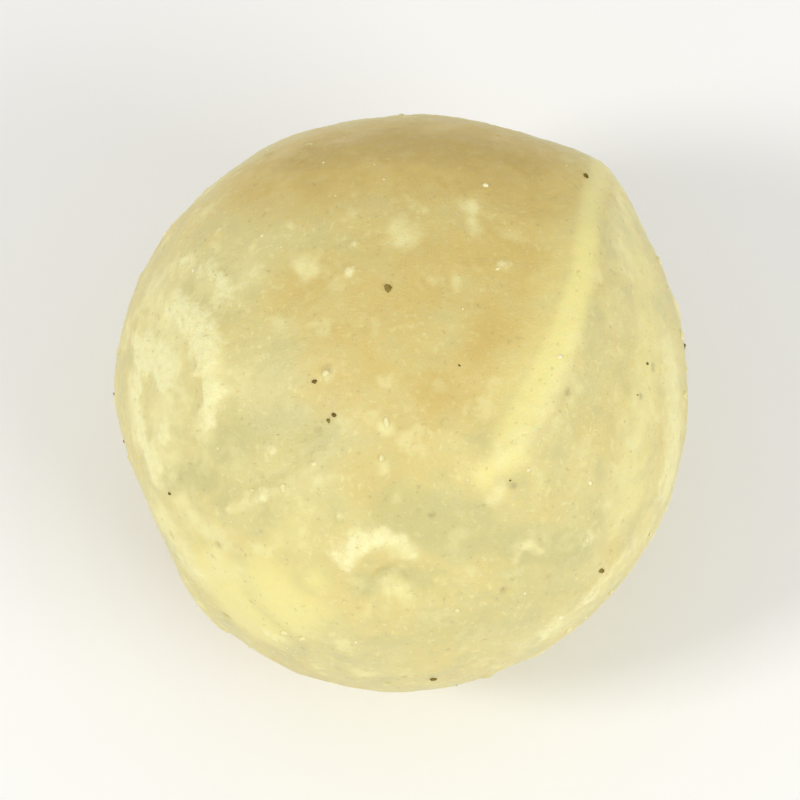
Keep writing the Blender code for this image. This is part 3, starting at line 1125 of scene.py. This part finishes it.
@dataclass
class Kernel:
    """The kernel itself: its form from the formula, and its fine relief from Geometry Nodes.

    Every field that is a float is an input of the relief's tree. A wave is a noise's name, detail and roughness.
    Nodules and pits are dots, and their rarity is the share of their cells that has none.
    """

    form: KernelForm
    skin: Skin
    finish: FleshFinish
    cells_per_side: int = 126
    waves: tuple[tuple[str, float, float], ...] = (("dent", 3.0, 0.6), ("peel", 1.0, 0.5), ("swell", 1.0, 0.5))
    crust_detail: float = 3.0
    crust_edge: Numbers = (1.8, 0.25, 1.15)
    swell_size: float = 3.0 * MILLIMETRE
    swell_height: float = 0.12 * MILLIMETRE
    dent_size: float = 1.1 * MILLIMETRE
    dent_height: float = 0.065 * MILLIMETRE
    peel_size: float = 0.36 * MILLIMETRE
    peel_height: float = 0.03 * MILLIMETRE
    crust_size: float = 1.3 * MILLIMETRE
    crust_height: float = 0.105 * MILLIMETRE
    crumble_size: float = 0.28 * MILLIMETRE
    crumble_swing: float = 2.2
    crumble_low: float = -0.3
    nodule_spacing: float = 1.5 * MILLIMETRE
    nodule_radius: float = 0.34 * MILLIMETRE
    nodule_height: float = 0.085 * MILLIMETRE
    nodule_rarity: float = 0.66
    nodule_paleness: float = 0.6
    pit_spacing: float = 1.9 * MILLIMETRE
    pit_radius: float = 0.28 * MILLIMETRE
    pit_height: float = -0.095 * MILLIMETRE
    pit_rarity: float = 0.62
    dot_least: float = 0.4
    dot_swing: float = 0.6
    dot_middle: float = 0.2
    contact: float = 0.35 * MILLIMETRE

    def build(self) -> bpy.types.Object:
        """Builds the kernel, puts it in the frame where the CAD node is and hides the CAD node.

        Returns:
            The finished piece.
        """
        piece = self.relief().apply(self.body(), "kernel_body")
        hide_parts(NODE)
        return carried(piece)

    def body(self) -> bpy.types.Object:
        """The kernel's form with its zones, filling the CAD node's box.

        Returns:
            The form, on which the relief is still to come.
        """
        grid = bmesh.new()
        bmesh.ops.create_cube(grid, size=2.0)
        bmesh.ops.subdivide_edges(grid, edges=grid.edges[:], cuts=self.cells_per_side - 1, use_grid_fill=True)
        mesh = bpy.data.meshes.new("kernel_form")
        grid.to_mesh(mesh)
        grid.free()
        cube = np.empty(len(mesh.vertices) * 3)
        mesh.vertices.foreach_get("co", cube)
        ways = unit(np.tan(cube.reshape(-1, 3) * pi / 4.0))
        mesh.vertices.foreach_set("co", self.placed(self.form.points(ways)).ravel())
        for zone, cover in self.skin.covers(ways, self.form).items():
            mesh.attributes.new(zone.value, "FLOAT", "POINT").data.foreach_set("value", cover)
        mesh.update()
        return linked("kernel_form", mesh)

    def placed(self, points: Array) -> Array:
        """The form where the CAD node is.

        Args:
            points: the form's points, in ball radii.

        Returns:
            The points in metres, as wide as the node and resting on its floor.
        """
        low, high = (np.array(corner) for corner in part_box(NODE))
        lowest, highest = points.min(axis=0), points.max(axis=0)
        scale = (high[0] - low[0]) / (highest[0] - lowest[0])
        middle = (low + high) / 2.0 - scale * (lowest + highest) / 2.0
        middle[2] = low[2] - scale * lowest[2]
        return points * scale + middle

    def relief(self) -> GeometryTree:
        """The tree that adds dents, chalky crust, nodules and pits, and keeps where they are for the finish.

        Returns:
            The finished tree.
        """
        tree = GeometryTree("kernel_relief", numbers_in(self), self.finish.material())
        size = tree.source
        lift: Any = 0.0
        for name, detail, roughness in self.waves:
            wave = tree.noise(tree.place, size[f"{name}_size"], detail, roughness)
            wave = tree.maths("MULTIPLY_ADD", wave, 2.0, -1.0)
            lift = tree.maths("MULTIPLY_ADD", wave, size[f"{name}_height"], lift)
        crust = tree.noise(tree.place, size["crust_size"], size["crust_detail"])
        crust = tree.ragged(tree.attribute(Zone.CHALKY.value), crust, *self.crust_edge)
        crumble = tree.noise(tree.place, size["crumble_size"])
        crumble = tree.maths("MULTIPLY_ADD", crumble, size["crumble_swing"], size["crumble_low"])
        nodule, pit = self.dots(tree, "nodule"), self.dots(tree, "pit")
        pit = tree.maths("MULTIPLY", pit, tree.maths("SUBTRACT", 1.0, nodule))
        raised = {"crust": tree.maths("MULTIPLY", crust, crumble), "nodule": nodule, "pit": pit}
        for name, share in raised.items():
            lift = tree.maths("MULTIPLY_ADD", share, size[f"{name}_height"], lift)
        height = tree.add("ShaderNodeSeparateXYZ", {0: tree.place}).outputs["Z"]
        lift = tree.maths("MULTIPLY", lift, tree.between(height, 0.0, size["contact"]))
        pale = tree.most(crust, tree.maths("MULTIPLY", nodule, size["nodule_paleness"]))
        kept = tree.store(size["Geometry"], Zone.CRUST.value, pale)
        kept = tree.store(kept, Zone.PIT.value, pit)
        tree.close(tree.moved(kept, tree.scaled(tree.add("GeometryNodeInputNormal").outputs[0], lift)))
        return tree

    @staticmethod
    def dots(tree: GeometryTree, name: str) -> Socket:
        """Round dots of many sizes, strewn over the kernel.

        Args:
            tree: the relief's tree.
            name: what the dots are, as the tree's inputs call them.

        Returns:
            One in the middle of a dot, nought outside.
        """
        spacing, radius, rarity = (tree.source[f"{name}_{size}"] for size in ("spacing", "radius", "rarity"))
        inputs = {"Vector": tree.place, "Scale": tree.per(spacing), "Randomness": 1.0}
        cells = tree.add("ShaderNodeTexVoronoi", inputs, feature="F1").outputs
        distance = tree.maths("MULTIPLY", live(cells, "Distance"), spacing)
        draw = tree.add("ShaderNodeSeparateXYZ", {0: live(cells, "Color")}).outputs
        share = tree.maths("MULTIPLY_ADD", draw["Y"], tree.source["dot_swing"], tree.source["dot_least"])
        reach = tree.maths("MULTIPLY", radius, share)
        dot = tree.between(distance, reach, tree.maths("MULTIPLY", reach, tree.source["dot_middle"]))
        return tree.maths("MULTIPLY", dot, tree.maths("GREATER_THAN", draw["X"], rarity))


@dataclass
class Crumbs:
    """Fine salt and nut crumbs that cling to the kernel, most of them in its chalky patches.

    Every field that is a float is an input of the tree that strews them. Covers are in crumbs to a square metre.
    """

    finish: GritFinish
    even_cover: float = 0.1 / MILLIMETRE**2
    chalky_cover: float = 1.2 / MILLIMETRE**2
    off_floor: float = 0.4 * MILLIMETRE
    smallest: float = 0.025 * MILLIMETRE
    largest: float = 0.11 * MILLIMETRE
    smallness: float = 2.5
    sunk: float = 0.25
    stretch: Pair = (0.6, 1.2)
    fineness: int = 1
    seed: int = 4

    def build(self, kernel: bpy.types.Object) -> bpy.types.Object:
        """Scatters the crumbs over the finished kernel, as one piece."""
        host = linked("crumb_ground", kernel.data.copy())
        return carried(self.scatter().apply(host, "salt_crumbs"))

    def scatter(self) -> GeometryTree:
        """The tree that strews the crumbs.

        Returns:
            The finished tree.
        """
        tree = GeometryTree("crumb_scatter", numbers_in(self), self.finish.material())
        size = tree.source
        height = tree.add("ShaderNodeSeparateXYZ", {0: tree.place}).outputs["Z"]
        clear = tree.maths("GREATER_THAN", height, size["off_floor"])
        crust = tree.attribute(Zone.CRUST.value)
        cover = tree.maths("MULTIPLY_ADD", crust, size["chalky_cover"], size["even_cover"])
        inputs = {"Mesh": size["Geometry"], "Density": tree.maths("MULTIPLY", cover, clear), "Seed": self.seed}
        strewn = tree.add("GeometryNodeDistributePointsOnFaces", inputs).outputs
        share = tree.maths("POWER", tree.drawn(0.0, 1.0, self.seed), size["smallness"])
        span = tree.maths("SUBTRACT", size["largest"], size["smallest"])
        radius = tree.maths("MULTIPLY_ADD", share, span, size["smallest"])
        turn = tree.drawn((0.0,) * 3, (WHOLE_TURN,) * 3, self.seed + 1)
        turn = tree.add("FunctionNodeEulerToRotation", {"Euler": turn}).outputs[0]
        low, high = self.stretch
        stretch = tree.scaled(tree.drawn((low,) * 3, (high,) * 3, self.seed + 2), radius)
        sink = tree.maths("MULTIPLY", tree.maths("MULTIPLY", radius, size["sunk"]), -1.0)
        points = tree.moved(strewn["Points"], tree.scaled(strewn["Normal"], sink))
        tree.close(tree.grains(points, turn, stretch, self.fineness, (self.smallest, self.smallest)))
        return tree


SHELL_DUST = (
    (-0.05, 0.41, 0.12), (-0.31, 0.07, 0.06), (-0.26, -0.07, 0.11), (-0.24, -0.05, 0.06), (0.21, 0.13, 0.06),
    (0.68, -0.58, 0.11), (0.11, -0.95, 0.1), (0.6, 0.73, 0.085), (-0.44, -0.12, 0.06), (-0.8, -0.32, 0.06),
    (0.37, -0.27, 0.025), (0.85, 0.13, 0.04), (0.81, 0.02, 0.035),
)
NUT_FLAKES = (
    (0.91, 0.5, 0.16), (0.97, 0.23, 0.2), (0.985, 0.02, 0.18), (0.94, 0.4, 0.1), (-0.055, -0.075, 0.16),
    (-0.07, -0.2, 0.12), (0.35, 0.48, 0.09), (-0.27, 0.1, 0.13), (0.19, -0.72, 0.1), (-0.34, -0.81, 0.14),
    (-0.4, -0.79, 0.1), (-0.52, -0.31, 0.1), (-0.41, -0.3, 0.13), (-0.31, -0.22, 0.1), (0.72, -0.66, 0.12),
    (0.58, -0.79, 0.13), (0.86, -0.46, 0.11), (-0.66, 0.43, 0.12),
)


@dataclass
class Specks:
    """Loose specks of one kind that stick to the kernel, such as dark shell dust or pale flakes of nut.

    Those seen are rows of right, up and radius. All radii are in millimetres.
    """

    name: str
    finish: GritFinish
    seen: Sequence[Spot]
    hidden: int
    hidden_radii: Pair
    flatness: float
    seed: int
    hidden_near: float = 0.1
    lowest: float = -0.85
    edge_near: float = 0.02
    ragged: Pair = (0.12 * MILLIMETRE, 0.1 * MILLIMETRE)
    stretch: tuple[Spot, Spot] = ((0.55, 0.55, 0.8), (1.35, 1.35, 1.2))
    fineness: int = 2
    far: float = 30.0 * MILLIMETRE

    def build(self, kernel: bpy.types.Object) -> bpy.types.Object:
        """Sticks the specks to the kernel.

        Args:
            kernel: the finished kernel.

        Returns:
            The specks, as one piece.
        """
        low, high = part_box(NODE)
        middle = np.array((low + high) / 2.0)
        ways, radii = self.places()
        mesh = bpy.data.meshes.new("speck_places")
        mesh.from_pydata([tuple(middle + way * self.far) for way in ways], [], [])
        mesh.attributes.new("speck_radius", "FLOAT", "POINT").data.foreach_set("value", radii)
        return carried(self.stick(kernel, middle).apply(linked("speck_places", mesh), self.name))

    def places(self) -> tuple[list[Array], list[float]]:
        """Where the specks are.

        Returns:
            The world direction and the radius, in metres, of each.
        """
        ways = []
        radii = []
        for right, up, radius in self.seen:
            near = max(self.edge_near, 1.0 - right**2 - up**2) ** 0.5
            ways.append(SIGHT.way_to((right, up, near)))
            radii.append(radius * MILLIMETRE)
        draw = np.random.default_rng(self.seed)
        while len(ways) < len(self.seen) + self.hidden:
            way = unit(draw.normal(size=3))
            if way @ SIGHT.way_to(NEAREST) < self.hidden_near and way[2] > self.lowest:
                ways.append(way)
                radii.append(draw.uniform(*self.hidden_radii) * MILLIMETRE)
        return ways, radii

    def stick(self, kernel: bpy.types.Object, middle: Array) -> GeometryTree:
        """The tree that drops each speck straight down onto the kernel.

        Args:
            kernel: the finished kernel.
            middle: its middle, towards which they drop.

        Returns:
            The finished tree.
        """
        tree = GeometryTree("speck_stick", {"flatness": self.flatness}, self.finish.material())
        ground = tree.add("GeometryNodeObjectInfo", {"Object": kernel}, transform_space="ORIGINAL").outputs["Geometry"]
        inward = tree.add("ShaderNodeVectorMath", {0: tuple(middle), 1: tree.place}, operation="SUBTRACT").outputs[0]
        inputs = {"Target Geometry": ground, "Source Position": tree.place, "Ray Direction": inward}
        drop = tree.add("GeometryNodeRaycast", {**inputs, "Ray Length": self.far}).outputs
        points = tree.add("GeometryNodeMeshToPoints", {"Mesh": tree.source["Geometry"]}).outputs[0]
        kept = tree.store(points, "facing", drop["Hit Normal"], "FLOAT_VECTOR")
        inputs = {"Geometry": kept, "Position": drop["Hit Position"]}
        dropped = tree.add("GeometryNodeSetPosition", inputs).outputs[0]
        inputs = {"Vector": tree.attribute("facing", "FLOAT_VECTOR")}
        turn = tree.add("FunctionNodeAlignRotationToVector", inputs, axis="Z").outputs[0]
        flat = tree.add("ShaderNodeCombineXYZ", {"X": 1.0, "Y": 1.0, "Z": tree.source["flatness"]}).outputs[0]
        inputs = {0: tree.drawn(*self.stretch, self.seed), 1: flat}
        shape = tree.add("ShaderNodeVectorMath", inputs, operation="MULTIPLY").outputs[0]
        shape = tree.scaled(shape, tree.attribute("speck_radius"))
        tree.close(tree.grains(dropped, turn, shape, self.fineness, self.ragged))
        return tree


@dataclass(frozen=True)
class Lamp:
    """One soft square lamp: where it hangs, its side and its power."""

    name: str
    place: Spot
    side: float
    power: float
    colour: Light


@dataclass
class Studio:
    """The plain pale floor, the soft light and the camera at the photograph's angle."""

    floor_side: float = 3.0
    floor_corners: tuple[Pair, ...] = ((-1.0, -1.0), (1.0, -1.0), (1.0, 1.0), (-1.0, 1.0))
    floor_colour: Colour = (0.93, 0.93, 0.92, 1.0)
    floor_roughness: float = 0.8
    sky_colour: Colour = (1.0, 1.0, 1.0, 1.0)
    sky_strength: float = 0.63
    lamps: Sequence[Lamp] = (
        Lamp("key", (-0.27, -0.1, 0.31), 0.09, 0.53, (1.0, 0.985, 0.95)),
        Lamp("fill", (0.28, -0.22, 0.26), 0.25, 0.66, (1.0, 1.0, 1.0)),
    )
    lens: float = 300.0
    sensor: float = 36.0
    share_of_picture: float = 0.72
    nearest_seen: float = 1.0 * MILLIMETRE

    def build(self) -> None:
        """Sets the floor, the light and the camera."""
        low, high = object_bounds()
        middle = (Vector(low) + Vector(high)) / 2.0
        self.lay_floor()
        self.light(middle)
        self.aim_camera(middle, high[0] - low[0])
        bpy.context.scene.view_settings.view_transform = "Standard"

    def lay_floor(self) -> None:
        """A plain pale floor that the kernel rests on."""
        mesh = bpy.data.meshes.new("floor")
        reach = self.floor_side / 2.0
        mesh.from_pydata([(x * reach, y * reach, 0.0) for x, y in self.floor_corners], [], [(0, 1, 2, 3)])
        graph = MaterialTree("pale_floor")
        mesh.materials.append(graph.close({"Base Color": self.floor_colour, "Roughness": self.floor_roughness}))
        linked("floor", mesh)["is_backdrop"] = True

    def light(self, middle: Vector) -> None:
        """An even white sky and the soft lamps.

        Args:
            middle: the kernel's middle, which the lamps look at.
        """
        world = bpy.data.worlds.new("studio")
        world.use_nodes = True
        sky = world.node_tree.nodes["Background"]
        sky.inputs["Color"].default_value = self.sky_colour
        sky.inputs["Strength"].default_value = self.sky_strength
        bpy.context.scene.world = world
        for lamp in self.lamps:
            data = bpy.data.lights.new(lamp.name, "AREA")
            data.size = lamp.side
            data.energy = lamp.power
            data.color = lamp.colour
            made = linked(lamp.name, data)
            made.location = lamp.place
            made.rotation_euler = (Vector(lamp.place) - middle).to_track_quat("Z", "Y").to_euler()

    def aim_camera(self, middle: Vector, width: float) -> None:
        """Puts the camera on the photograph's line of sight.

        Args:
            middle: the kernel's middle, which it looks at.
            width: the kernel's width, which sets how far off it stands.
        """
        data = bpy.data.cameras.new("camera")
        data.lens = self.lens
        data.sensor_width = self.sensor
        data.clip_start = self.nearest_seen
        camera = linked("camera", data)
        back = Vector(SIGHT.way_to(NEAREST))
        distance = width / self.share_of_picture * self.lens / self.sensor
        camera.location = middle + back * distance
        camera.rotation_euler = back.to_track_quat("Z", "Y").to_euler()
        bpy.context.scene.camera = camera


def main() -> None:
    """Builds every piece in order, then the floor, the light and the camera."""
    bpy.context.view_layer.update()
    salt = GritFinish("salt_and_dust", (0.87, 0.8, 0.42, 1.0), (0.94, 0.89, 0.6, 1.0), 0.4)
    dust = GritFinish("shell_dust", (0.13, 0.088, 0.016, 1.0), (0.31, 0.225, 0.048, 1.0), 0.6, gloss=0.12)
    flake = GritFinish("nut_flake", (0.83, 0.75, 0.34, 1.0), (0.91, 0.84, 0.45, 1.0), 0.5)
    kernel = Kernel(KernelForm(), Skin(), FleshFinish()).build()
    log.info("%s: %d faces", kernel.name, len(kernel.data.polygons))
    for loose in (
        Crumbs(salt),
        Specks("dark_specks", dust, SHELL_DUST, hidden=22, hidden_radii=(0.05, 0.12), flatness=0.45, seed=17),
        Specks("nut_flakes", flake, NUT_FLAKES, hidden=38, hidden_radii=(0.06, 0.15), flatness=0.42, seed=29),
    ):
        piece = loose.build(kernel)
        log.info("%s: %d faces", piece.name, len(piece.data.polygons))
    Studio().build()


if __name__ == "__main__":
    logging.basicConfig(level=logging.INFO, format="%(message)s")
    main()
